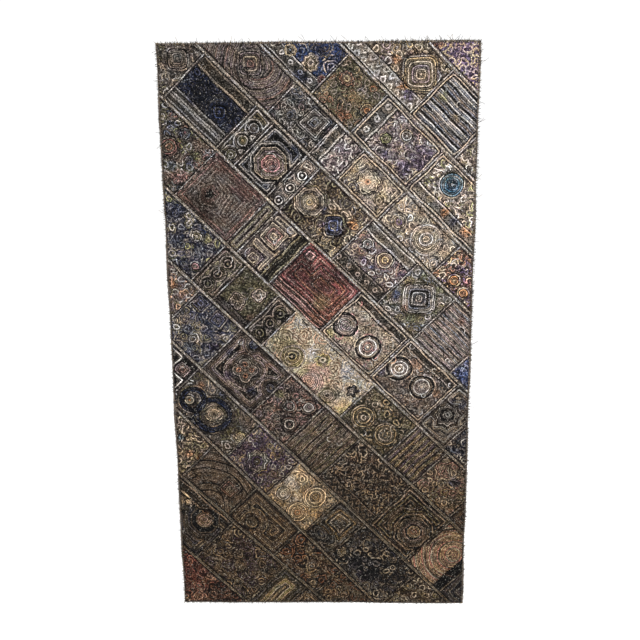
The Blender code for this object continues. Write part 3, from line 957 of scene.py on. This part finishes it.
class Gathered:
    # points, faces, colours and thread maps of many small things that become one piece
    def __init__(self):
        self.points, self.faces, self.colours, self.maps, self.count = [], [], [], [], 0

    def add(self, points, faces, colours, maps):
        self.points.append(points)
        self.faces += [[index + self.count for index in face] for face in faces]
        self.colours.append(colours)
        self.maps.append(maps)
        self.count += len(points)

    def addTube(
        self, x, y, base, halfWide, high, colours, closed=False, profile=cordProfile, tail=0.5, under=True
    ):
        # a laid thread: flat underneath, round above, running through the flat points x, y
        n, k = len(x), len(profile)
        if closed:
            dx, dy = np.roll(x, -1) - np.roll(x, 1), np.roll(y, -1) - np.roll(y, 1)
        else:
            dx, dy = np.gradient(x), np.gradient(y)
        size = np.maximum(np.hypot(dx, dy), 1e-9)
        nx, ny = -dy / size, dx / size
        narrow = np.ones(n)
        if not closed:
            narrow[0] = narrow[-1] = tail
        side, up = np.array(profile).T
        s, h = side * (halfWide * narrow)[:, None], up * (high * narrow)[:, None]
        px, py = x[:, None] + nx[:, None] * s, y[:, None] + ny[:, None] * s
        points = toWorld(px, py, base[:, None] + h).reshape(-1, 3)
        run = np.concatenate(((0.0,), np.cumsum(np.hypot(np.diff(x), np.diff(y)))))
        maps = np.stack(np.broadcast_arrays(run[:, None], np.arange(k)[None] / (k - 1)), -1).reshape(-1, 2)
        i = np.arange(n if closed else n - 1)[:, None] * k
        j = np.arange(k if under else k - 1)[None]
        ahead, beside = (i + k) % (n * k), (j + 1) % k
        faces = np.stack(np.broadcast_arrays(i + j, ahead + j, ahead + beside, i + beside), -1)
        faces = faces.reshape(-1, 4).tolist()
        if not closed:
            faces += [list(range(k)), [n * k - 1 - number for number in range(k)]]
        self.add(points, faces, np.repeat(colours, k, axis=0), maps)

    def addDomes(self, x, y, base, radius, high, colours, sides=6):
        # round knots or beads, each with a low skirt, a shoulder and a crown
        n, each = len(x), 2 * sides + 1
        turn = np.arange(sides) * 2 * math.pi / sides
        rings = []
        for wide, up in ((1.0, 0.0), (0.80, 0.72)):
            px = x[:, None] + radius[:, None] * wide * np.cos(turn)[None]
            py = y[:, None] + radius[:, None] * wide * np.sin(turn)[None]
            rings.append(toWorld(px, py, (base + high * up)[:, None] + 0 * px))
        crown = toWorld(x, y, base + high)[:, None, :]
        points = np.concatenate((*rings, crown), 1).reshape(-1, 3)
        dome = []
        for k in range(sides):
            other = (k + 1) % sides
            dome += [(k, k + sides, other + sides, other), (k + sides, 2 * sides, other + sides)]
        dome.append(tuple(range(sides)))
        faces = [[index + number * each for index in face] for number in range(n) for face in dome]
        maps = np.tile(np.stack((np.linspace(0, 3, each), np.linspace(0, 1, each)), 1), (n, 1))
        self.add(points, faces, np.repeat(colours, each, axis=0), maps)

    def make(self, name, slot):
        points, colours, maps = [np.concatenate(many) for many in (self.points, self.colours, self.maps)]
        return newPiece(name, points, self.faces, threadFinish, colours, maps)


def clothRise(spot, x, y):
    # how far the front of a patch stands from the backing, rolled down at its sewn sides
    along, across = toRow(x, y)
    lower, upper = rowSides(spot["row"], along)
    inner = np.minimum(across - lower, upper - across)
    inner = np.minimum(inner, np.minimum(along - spot["cadStart"], spot["cadStop"] - along))
    inner = np.minimum(inner, fromClothEdge(x, y) - hanging["edgeMargin"])
    crown = (patchForm["crown"] - patchForm["edge"]) * smoothStep(0.6 * inner / patchForm["roll"])
    return hanging["clearance"] + (patchForm["edge"] + crown)


def laySpots():
    # where each field starts and stops, and the solid patch that it belongs to
    spots = []
    for row, fields in enumerate(patchwork):
        start, rowStop = rowRange(row)
        for field in fields:
            stop = min(field["to"] - hanging["patchGap"] / 2, rowStop)
            lower, upper = rowSides(row, np.array([start, stop]))
            spot = {"row": row, "field": field, "start": start, "stop": stop}
            spot.update(lowest=lower.min(), highest=upper.max())
            spot["area"] = (stop - start) * (spot["highest"] - spot["lowest"])
            spots.append(spot)
            start = stop + hanging["patchGap"]
    for spot in spots:
        same = [s for s in spots if s["row"] == spot["row"] and s["field"]["on"] == spot["field"]["on"]]
        spot["cadStart"], spot["cadStop"] = same[0]["start"], same[-1]["stop"]
    return spots


def fieldGrid(spot, step):
    a = np.arange(spot["start"], spot["stop"] + step, step)
    c = np.arange(spot["lowest"], spot["highest"] + step, step)
    return np.meshgrid(a, c, indexing="ij")


def isInside(spot, along, across, inset):
    lower, upper = rowSides(spot["row"], along)
    inside = (along > spot["start"] + inset) & (along < spot["stop"] - inset)
    inside &= (across > lower + inset) & (across < upper - inset)
    return inside & (fromClothEdge(*toFlat(along, across)) > couching["toEdge"])


def threadBase(spot, x, y):
    return clothRise(spot, x, y) - couching["sunk"]


def couchField(spot, gathered):
    # every round of thread of one field, then the outlines of its motifs, borders and bands
    step, field = couching["gridStep"], spot["field"]
    along, across = fieldGrid(spot, step)
    inside = isInside(spot, along, across, 1.0)
    if not inside.any():
        return
    x, y = toFlat(along, across)
    level, _, zone, _ = readPattern(spot, x, y)
    whole = inside[:-1, :-1] & inside[1:, :-1] & inside[:-1, 1:] & inside[1:, 1:]
    usable = whole.copy()
    for other in (zone[1:, :-1], zone[:-1, 1:], zone[1:, 1:]):
        usable &= other == zone[:-1, :-1]
    px, py = wandered(x, y)
    sides = fieldSides(spot, *toRow(px, py))
    wanted = [(level, count + 0.5, usable, None) for count in range(int(level[inside].max()) + 1)]
    for shape, mx, my, r, motifInks in field["motifs"]:
        wanted.append((motifDistance(shape, px - mx, py - my, r), 0.0, whole, motifInks[0]))
    nearest = np.minimum.reduce(list(sides.values()))
    for place, ink in couching["borderLines"][: field["border"]]:
        wanted.append((nearest, place, whole, ink))
    for side, width, _, _ in field["bands"]:
        wanted.append((sides[side], width, whole, "black"))
        sides[side] = sides[side] - width
    origin = np.array((along[0, 0], across[0, 0]))
    for values, target, allowed, outline in wanted:
        for chain in contourLines(values, target, allowed):
            layLine(spot, chain * step + origin, gathered, outline)


def layLine(spot, chain, gathered, outline):
    closed = np.hypot(*(chain[0] - chain[-1])) < 0.01
    points = evenLine(chain, closed)
    if closed:
        points = points[:-1]
    x, y = toFlat(*points.T)
    level, pitch, zone, tag = readPattern(spot, x, y)
    middle = len(x) // 2
    number = int(abs(x[0] * 13 + y[middle] * 7)) % 97
    least, span = couching["lineTone"]
    tone = least + span * ((number * 0.618) % 1.0)
    if outline:
        colours = agedAndLit(x, y, np.tile(np.array(inks[outline]), (len(x), 1))) * tone
        wide, high = couching["outlineWide"], couching["outlineHigh"]
    else:
        count = np.full(len(x), int(round(level[middle] - 0.5)))
        isKnotted = spot["field"]["kind"] == "knots" and zone[middle] == 0
        if isKnotted and (count[0] == 0 or spot["field"]["size"] < couching["openCell"]):
            return
        colours = paint(spot, x, y, count, np.full(len(x), zone[middle]), tag) * tone
        colours = colours * (0.74 + 0.52 * jitter(x, y, 6))[:, None]
        wide, high = pitch[middle] * couching["cover"], couching["high"]
        if colours.mean() < couching["darkLine"]:
            wide = wide * 0.75
    gathered.addTube(x, y, threadBase(spot, x, y), wide / 2, high, colours, closed, under=False)


# Knots: their radii by kind, their height, and how many seeds and beads there are over a place
knotting = {
    "radius": {"knot": 2.6, "bead": 2.8, "seed": 1.7},
    "high": 1.8,
    "seedLift": 1.0,
    "seeds": 0.0024,  # for each square millimetre
    "beadEvery": 8.0,
    "beadRows": (0.32, 0.68),
    "inset": 3.0,
}


def knotField(spot, gathered, dice):
    # knots at the middle of small cells, rows of beads, and a scatter of small bright knots
    field = spot["field"]
    places = []
    if field["kind"] == "knots":
        size = field["size"]
        x, y = toFlat(*fieldGrid(spot, size))
        cells = np.unique(np.floor(np.stack((x.ravel(), y.ravel()), 1) / size).astype(int), axis=0)
        places.append(("knot", *cellPoint(*cells.T, size)))
    if field["kind"] == "beads":
        lower, upper = rowSides(spot["row"], spot["start"])
        run = np.arange(lower + 8, upper - 5, knotting["beadEvery"])
        for share in knotting["beadRows"]:
            middle = spot["start"] + (spot["stop"] - spot["start"]) * share
            places.append(("bead", *toFlat(middle + 0 * run, run)))
    many = int(spot["area"] * knotting["seeds"])
    along = dice.uniform(spot["start"], spot["stop"], many)
    across = dice.uniform(spot["lowest"], spot["highest"], many)
    places.append(("seed", *toFlat(along, across)))
    for kind, x, y in places:
        level, _, zone, tag = readPattern(spot, x, y)
        kept = isInside(spot, *toRow(x, y), knotting["inset"])
        if kind == "knot":
            kept &= zone == 0
        if not kept.any():
            continue
        x, y, level, zone, tag = x[kept], y[kept], level[kept], zone[kept], tag[kept]
        colours = paint(spot, x, y, np.floor(level).astype(int), zone, tag)
        if kind != "knot":
            colours = 0.5 * colours + 0.5 * np.array(inks["silver"])
        if kind == "seed":
            colours *= dice.uniform(0.5, 1.7, (len(x), 1))
        radii = knotting["radius"][kind] * dice.uniform(0.8, 1.2, len(x))
        base = threadBase(spot, x, y) + (knotting["seedLift"] if kind == "seed" else 0.0)
        high = np.full(len(x), knotting["high"])
        gathered.addDomes(x, y, base, radii, high, colours, 5 if kind == "seed" else 6)


# Curls: how many there are for each square millimetre, how far each bends, in radians, and its ranges
curls = {
    "many": 0.0011,
    "points": 9,
    "bend": (-5.5, 5.5),
    "length": (16, 40),
    "bright": (0.35, 1.15),
    "halfWide": (0.9, 1.4),
    "high": 1.3,
    "lift": 0.7,
    "inset": 4.0,
}


def strokeField(spot, gathered, dice):
    # short curls of thread over the rounds, light and dark, as hand work grown loose has everywhere
    field = spot["field"]
    shades = [inks[name] for name in field["threads"] + ["soot", "silver", "black"]]
    share = np.linspace(0, 1, curls["points"])
    for _ in range(int(spot["area"] * curls["many"] * field["strokes"])):
        turn = dice.uniform(0, 6.28) + dice.uniform(*curls["bend"]) * share
        stride = dice.uniform(*curls["length"]) / (curls["points"] - 1)
        bright = dice.uniform(*curls["bright"])
        along = dice.uniform(spot["start"], spot["stop"])
        x, y = toFlat(along, dice.uniform(spot["lowest"], spot["highest"]))
        x, y = x + np.cumsum(np.cos(turn)) * stride, y + np.cumsum(np.sin(turn)) * stride
        colour = np.array(shades[dice.integers(len(shades))]) * bright
        if not isInside(spot, *toRow(x, y), curls["inset"]).all():
            continue
        halfWide = dice.uniform(*curls["halfWide"])
        base, colours = threadBase(spot, x, y) + curls["lift"], plainInk(field, x, y, colour)
        gathered.addTube(x, y, base, halfWide, curls["high"], colours, under=False)


def cutCloth(group):
    # the flat patch between its seams, trimmed by the hanging's edge
    row, start, stop = group[0]["row"], group[0]["cadStart"], group[0]["cadStop"]
    n = max(2, round((stop - start) / patchForm["cell"]))
    a = np.linspace(start, stop, n + 1)
    lower, upper = rowSides(row, a)
    m = max(2, round((upper - lower).mean() / patchForm["cell"]))
    share = np.linspace(0, 1, m + 1)
    c = lower[:, None] * (1 - share)[None] + upper[:, None] * share[None]
    x, y = toFlat(np.broadcast_to(a[:, None], c.shape), c)
    bm = bmesh.new()
    verts = [bm.verts.new((px, 0.0, -py)) for px, py in zip(x.ravel().tolist(), y.ravel().tolist())]
    for i in range(n):
        for j in range(m):
            k = i * (m + 1) + j
            bm.faces.new((verts[k], verts[k + m + 1], verts[k + m + 2], verts[k + 1]))
    margin = hanging["edgeMargin"]
    right, low = hanging["width"] - margin, margin - hanging["height"]
    for point, out in (
        ((margin, 0, 0), (-1, 0, 0)),
        ((right, 0, 0), (1, 0, 0)),
        ((0, 0, -margin), (0, 0, 1)),
        ((0, 0, low), (0, 0, -1)),
    ):
        everything = bm.verts[:] + bm.edges[:] + bm.faces[:]
        bmesh.ops.bisect_plane(bm, geom=everything, plane_co=point, plane_no=out, clear_outer=True)
    bmesh.ops.remove_doubles(bm, verts=bm.verts[:], dist=0.2)
    return bm, (upper - lower).max() * mm


def makeCloth(name, group):
    # one patch of cloth, thick and crowned, in the inks of its fields
    bm, width = cutCloth(group)
    flatArea = sum(face.calc_area() for face in bm.faces) * mm * mm
    copied = bmesh.ops.extrude_face_region(bm, geom=bm.faces[:])["geom"]
    front = {item for item in copied if isinstance(item, bmesh.types.BMVert)}
    isFront = np.array([vert in front for vert in bm.verts])
    flat = np.array([vert.co for vert in bm.verts])
    x, y = flat[:, 0], -flat[:, 2]
    along = toRow(x, y)[0]
    colours, rise = np.zeros((len(x), 3)), np.zeros(len(x))
    for spot in group:
        mine = (along >= spot["start"] - 1) & (along <= spot["stop"] + 1)
        level, _, zone, tag = readPattern(spot, x[mine], y[mine])
        colours[mine] = groundInkWithShade(spot, x[mine], y[mine], level, zone, tag)
        rise[mine] = clothRise(spot, x[mine], y[mine])
    points = toWorld(x, y, np.where(isFront, rise, hanging["clearance"]))
    for vert, place in zip(bm.verts, points.tolist()):
        vert.co = place
    bmesh.ops.recalc_face_normals(bm, faces=bm.faces[:])
    mesh = bpy.data.meshes.new(name)
    bm.to_mesh(mesh)
    bm.free()
    piece = finishPiece(name, mesh, clothFinish, colours)
    return piece


print("materials")
threadFinish = threadMaterial("couchedMetalThread", looks["thread"])
clothFinish = clothMaterial("stitchedCloth", looks["cloth"])
cottonFinish = cottonMaterial("plainCotton", looks["cotton"])

print("cloth patches")
spots = laySpots()
slots = {part["node"]: part["material_slot"] for part in frame["record"]["subparts"]}
groups = {}
for spot in spots:
    groups.setdefault((spot["row"] + 1, spot["field"]["on"]), []).append(spot)
for (row, number), group in groups.items():
    patch = f"patch_{row:02d}_{number}"
    piece = makeCloth(f"cloth_{row:02d}_{number}", group)
    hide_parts(patch)

print("couched thread")
dice = np.random.default_rng(7)
for row in range(len(patchwork)):
    couched, knots = Gathered(), Gathered()
    for spot in spots:
        if spot["row"] == row:
            couchField(spot, couched)
            knotField(spot, knots, dice)
            strokeField(spot, knots, dice)
    slot = slots[f"patch_{row + 1:02d}_1"]
    for name, gathered in (("couching", couched), ("knots", knots)):
        piece = gathered.make(f"{name}_{row + 1:02d}", slot)
        print(" row", row + 1, name, "faces", len(piece.data.polygons))


# Braids over the long seams: three strands of silver cord, plaited flat, with small knots on them
plait = {
    "wide": 2.7,
    "high": 1.7,
    "swing": 2.0,
    "repeat": 13.0,
    "step": 2.6,
    "lift": 1.3,
    "base": 0.6,
    "knotGap": 9.0,
}
# Cords of two plies over the seams between the patches of one row
crossCord = {"step": 2.4, "repeat": 9.0, "swing": 0.95, "halfWide": 1.45, "high": 1.6, "lift": 0.7}


def cordInk(x, y, seed, first, second):
    # old cord: its silver kept in some places, dull or dark in others
    share = smoothStep(0.5 + 0.9 * ripple(x, y, 60, seed))[:, None]
    bright = smoothStep(0.55 + 1.0 * ripple(x, y, 17, seed + 2) + 0.5 * ripple(x, y, 130, seed))
    worn = 0.50 + 1.10 * bright[:, None]
    colour = (np.array(inks[first]) * (1 - share) + np.array(inks[second]) * share) * worn
    # painted shade: the cord darker low down, as the patches are
    low = smoothStep((y - 800) / 700)[:, None]
    return agedAndLit(x, y, colour) * (1 - 0.32 * low)


def seamRun(number):
    along = np.arange(abs(hanging["seams"][number][0]), 2100.0)
    x, y = toFlat(along, seamAcross(number, along))
    kept = along[fromClothEdge(x, y) > hanging["edgeMargin"]]
    return kept[0], kept[-1]


def layBraid(number):
    start, stop = seamRun(number)
    along = np.linspace(start, stop, int((stop - start) / plait["step"]))
    gathered = Gathered()
    for strand in range(3):
        phase = 2 * math.pi * (along / plait["repeat"] + strand / 3)
        across = seamAcross(number, along) + plait["swing"] * np.sin(phase)
        across += 0.7 * ripple(along, 11 * number, 110, number) + 0.5 * ripple(along, 7 * number, 37, number)
        x, y = toFlat(along, across)
        base = plait["base"] + plait["lift"] * (0.5 + 0.5 * np.cos(2 * phase + 1.2))
        colours = cordInk(x, y, number + strand * 5, "silver", "taupe" if strand == 0 else "beige")
        gathered.addTube(x, y, base, plait["wide"] / 2, plait["high"], colours)
    knots = np.arange(start + 4, stop - 4, plait["knotGap"])
    knots = knots + 3.5 * ripple(knots, 31 * number, 9, number)
    x, y = toFlat(knots, seamAcross(number, knots) + 2.2 * ripple(knots, 5 * number, 13, 6))
    colours = cordInk(x, y, number, "silver", "beige") * (0.5 + 1.4 * jitter(x, y, 7) ** 2)[:, None]
    gathered.addDomes(x, y, 2.2 + 0 * x, 1.7 + 0 * x, 1.6 + 0 * x, colours)
    return gathered


def layCrossCord(spot, gathered):
    # a two-ply cord over the seam at a field's far end
    lower, upper = rowSides(spot["row"], spot["stop"])
    across = np.linspace(lower + 1.0, upper - 1.0, max(3, int((upper - lower) / crossCord["step"])))
    middle = spot["stop"] + hanging["patchGap"] / 2 + 0.8 * ripple(across, spot["stop"], 90, 4)
    x, y = toFlat(middle, across)
    kept = fromClothEdge(x, y) > couching["toEdge"]
    if kept.sum() < 4:
        return
    across, middle = across[kept], middle[kept]
    inner = clothRise(spot, *toFlat(middle - hanging["patchGap"], across))
    for strand in range(2):
        phase = 2 * math.pi * (across / crossCord["repeat"] + strand / 2)
        x, y = toFlat(middle + crossCord["swing"] * np.sin(phase), across)
        base = inner - 0.5 + crossCord["lift"] * (0.5 + 0.5 * np.cos(phase))
        colours = cordInk(x, y, spot["stop"] * 0.01 + strand, "silver", "taupe")
        gathered.addTube(x, y, base, crossCord["halfWide"], crossCord["high"], colours)


print("seam braids and cords")
for number in range(len(hanging["seams"])):
    piece = layBraid(number).make(f"seam_braid_{number + 1:02d}", "silver_braid")
    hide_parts(f"braid_{number + 1:02d}")
for row in range(len(patchwork)):
    gathered = Gathered()
    for spot in [spot for spot in spots if spot["row"] == row][:-1]:
        layCrossCord(spot, gathered)
    if gathered.count:
        gathered.make(f"cross_cords_{row + 1:02d}", "silver_braid")


# The backing: cotton, its edge a little wavy and frayed, with running stitches behind every seam
backing = {
    "cell": 10.0,
    "waver": 1.8,
    "fray": 0.9,
    "ink": (0.42, 0.36, 0.27),
    "stitch": 6.0,
    "stitchEvery": 11.0,
}


def edgeWaver(distance, turn):
    slow = np.sin(2 * math.pi * (distance / 410 + turn))
    quick = np.sin(2 * math.pi * (distance / 230 - turn))
    return backing["waver"] * (0.6 * slow + 0.4 * quick)


def makeBacking():
    width, height = hanging["width"], hanging["height"]
    n, m = round(width / backing["cell"]), round(height / backing["cell"])
    i, j = np.meshgrid(np.arange(n + 1), np.arange(m + 1), indexing="ij")
    x, y = i * width / n, j * height / m
    side, end = (i == n) * 1 - (i == 0) * 1, (j == 0) * 1 - (j == m) * 1
    fromMiddle = x - width / 2
    ragged = backing["fray"] * (jitter(i, j, 5) - 0.5)
    moveX = side * (edgeWaver(-y, 0.2 + 0.3 * side) + ragged)
    moveY = -end * (edgeWaver(fromMiddle, 0.5 * end) + ragged) * smoothStep(abs(fromMiddle) / 200)
    movedX, movedY = (x + moveX).ravel(), (y + moveY).ravel()
    x, y = x.ravel(), y.ravel()
    sheets = [toWorld(x, y, 0 * x), toWorld(x, y, 0 * x - hanging["backingThick"])]
    for sheet in sheets:
        sheet[:, 0] = (movedX - width / 2) * mm
        sheet[:, 2] = -movedY * mm
    number = np.arange((n + 1) * (m + 1)).reshape(n + 1, m + 1)
    quads = np.stack((number[:-1, :-1], number[:-1, 1:], number[1:, 1:], number[1:, :-1]), -1).reshape(-1, 4)
    rim = np.concatenate((number[0, :], number[1:, -1], number[-1, -2::-1], number[-2:0:-1, 0]))
    after = np.roll(rim, -1)
    walls = np.stack((rim, rim + number.size, after + number.size, after), -1)
    faces = np.concatenate((quads, quads[:, ::-1] + number.size, walls)).tolist()
    stain = smoothStep(1.4 - fromClothEdge(x, y) / 30)[:, None]
    cotton = np.array(backing["ink"]) * (0.9 + 0.15 * ripple(x, y, 300, 6))[:, None]
    worn = (0.42 + 0.25 * jitter(i, j, 8)).ravel()[:, None]
    faceInk = cotton * (1 - stain) + np.array(inks["taupe"]) * worn * stain
    colours = np.concatenate((faceInk, cotton * (1 - 0.25 * stain)))
    return newPiece("backing_cloth", np.concatenate(sheets), faces, cottonFinish, colours)


def stitchSeams():
    gathered = Gathered()
    for number in range(len(hanging["seams"])):
        start, stop = seamRun(number)
        for at in np.arange(start + 6, stop - 8, backing["stitchEvery"]):
            addStitch(gathered, at, seamAcross(number, at), at + backing["stitch"], 0.0)
    for spot in spots:
        lower, upper = rowSides(spot["row"], spot["stop"])
        for at in np.arange(lower + 6, upper - 8, backing["stitchEvery"]):
            addStitch(gathered, spot["stop"], at, spot["stop"], backing["stitch"])
    return gathered.make("back_stitches", "silver_braid")


def addStitch(gathered, along, across, farAlong, climb):
    run = np.array([along, (along + farAlong) / 2, farAlong])
    x, y = toFlat(run, across + np.array([0.0, climb / 2, climb]))
    if fromClothEdge(x, y).min() < 8:
        return
    base = np.full(3, -hanging["backingThick"] - 0.9)
    gathered.addTube(x, y, base, 0.6, 0.8, np.tile(np.array(inks["taupe"]) * 0.5, (3, 1)))


# Broken threads all round: each side's corner, its run and the way out, then its length, how many threads,
# how far they reach and the share of long ones
width, height = hanging["width"], hanging["height"]
fringe = {
    "inks": ("taupe", "taupe", "beige", "silver", "slate", "olive", "mauve", "gold"),
    "rooted": 7.0,
    "longFrom": 8.0,
    "longer": (2.0, 4.5),
    "lean": (-0.9, 0.9),
    "curl": (-0.8, 0.8),
    "base": (1.2, 3.0),
    "rise": (-0.1, 0.30),
    "bright": (0.6, 1.1),
    "tail": 0.6,
    "profile": ((-1.0, 0.0), (0.0, 1.2), (1.0, 0.0)),
    "sides": (
        ((0, 0), (1, 0), (0, -1), width, 620, 3.2, 0.08),
        ((0, height), (1, 0), (0, 1), width, 300, 2.6, 0.01),
        ((0, 0), (0, 1), (-1, 0), height, 560, 2.8, 0.015),
        ((width, 0), (0, 1), (1, 0), height, 900, 3.8, 0.03),
    ),
}


def fraySides(dice):
    gathered = Gathered()
    for corner, run, out, length, many, reach, longOnes in fringe["sides"]:
        for _ in range(many):
            place = dice.uniform(0, length)
            size = reach * dice.uniform(0.4, 1.5)
            nearCorner = smoothStep(place / length if out == (0, -1) else 1 - place / length)
            if dice.uniform() < longOnes * (0.3 + 1.7 * nearCorner):
                size *= dice.uniform(*fringe["longer"])
            addLoose(gathered, dice, corner, run, out, place, size)
    return gathered.make("frayed_threads", "silver_braid")


def addLoose(gathered, dice, corner, run, out, place, size):
    isShort = size < fringe["longFrom"]
    steps = np.linspace(0, 1, 4 if isShort else 7)
    lean, curl = dice.uniform(*fringe["lean"]), dice.uniform(*fringe["curl"])
    forth = (size + fringe["rooted"]) * steps - fringe["rooted"]
    aside = place + size * (lean * steps + curl * steps * steps * steps)
    x = corner[0] + run[0] * aside + out[0] * forth
    y = corner[1] + run[1] * aside + out[1] * forth
    base = dice.uniform(*fringe["base"]) * (1 - 0.6 * steps) + size * dice.uniform(*fringe["rise"]) * steps
    ink = fringe["inks"][dice.integers(len(fringe["inks"]))]
    colours = np.tile(np.array(inks[ink]) * dice.uniform(*fringe["bright"]), (len(x), 1))
    thick = 0.55 if isShort else 0.45
    gathered.addTube(x, y, base, thick, thick, colours, False, fringe["profile"], fringe["tail"])


print("backing and loose threads")
backingPiece = makeBacking()
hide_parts("backing")
stitchSeams()
fraySides(np.random.default_rng(11))


# The camera at the photograph's place: a little right of the middle and above the top, looking down
camera = {
    "place": (0.0784, -3.0737, 0.1379),
    "pitchDown": 17.03,
    "turn": 1.476,
    "roll": -0.57,
    "lens": 60.75,
    "sensor": 36.0,
}
studio = {
    "floor": -2.30,
    "floorSize": 60.0,
    "worldLight": 1.08,
    "key": {"place": (1.5, -2.3, 1.3), "aim": (0.0, 0.0, -0.55), "size": 0.7, "power": 187.0},
    "fill": {"place": (-1.6, -2.6, 0.3), "aim": (0.0, 0.0, -0.8), "size": 0.9, "power": 60.0},
}


def makeCamera():
    data = bpy.data.cameras.new("camera")
    data.lens, data.sensor_width = camera["lens"], camera["sensor"]
    eye = bpy.data.objects.new("camera", data)
    bpy.context.collection.objects.link(eye)
    turned = Matrix.Rotation(math.radians(camera["turn"]), 4, "Z")
    tipped = Matrix.Rotation(math.radians(90 - camera["pitchDown"]), 4, "X")
    rolled = Matrix.Rotation(math.radians(camera["roll"]), 4, "Z")
    eye.matrix_world = Matrix.Translation(camera["place"]) @ turned @ tipped @ rolled
    bpy.context.scene.camera = eye


def makeLight(name, facts):
    data = bpy.data.lights.new(name, "AREA")
    data.size, data.energy = facts["size"], facts["power"]
    lamp = bpy.data.objects.new(name, data)
    lamp.location = facts["place"]
    aim = Vector(facts["aim"]) - Vector(facts["place"])
    lamp.rotation_euler = aim.to_track_quat("-Z", "Y").to_euler()
    bpy.context.collection.objects.link(lamp)


def makeStudio():
    bpy.ops.object.select_all(action="DESELECT")
    bpy.ops.mesh.primitive_plane_add(size=studio["floorSize"], location=(0, 0, studio["floor"]))
    floor = bpy.context.object
    floor.name = "floor"
    material, _, shader = newMaterial("paleFloor", looks["floor"])
    shader.inputs["Base Color"].default_value = (0.95, 0.95, 0.95, 1.0)
    floor.data.materials.append(material)
    world = bpy.data.worlds.new("studio")
    world.use_nodes = True
    sky = world.node_tree.nodes["Background"]
    sky.inputs["Color"].default_value = (1.0, 1.0, 1.0, 1.0)
    sky.inputs["Strength"].default_value = studio["worldLight"]
    bpy.context.scene.world = world
    bpy.context.scene.view_settings.view_transform = "Standard"
    makeLight("key", studio["key"])
    makeLight("fill", studio["fill"])


print("studio")
makeCamera()
makeStudio()
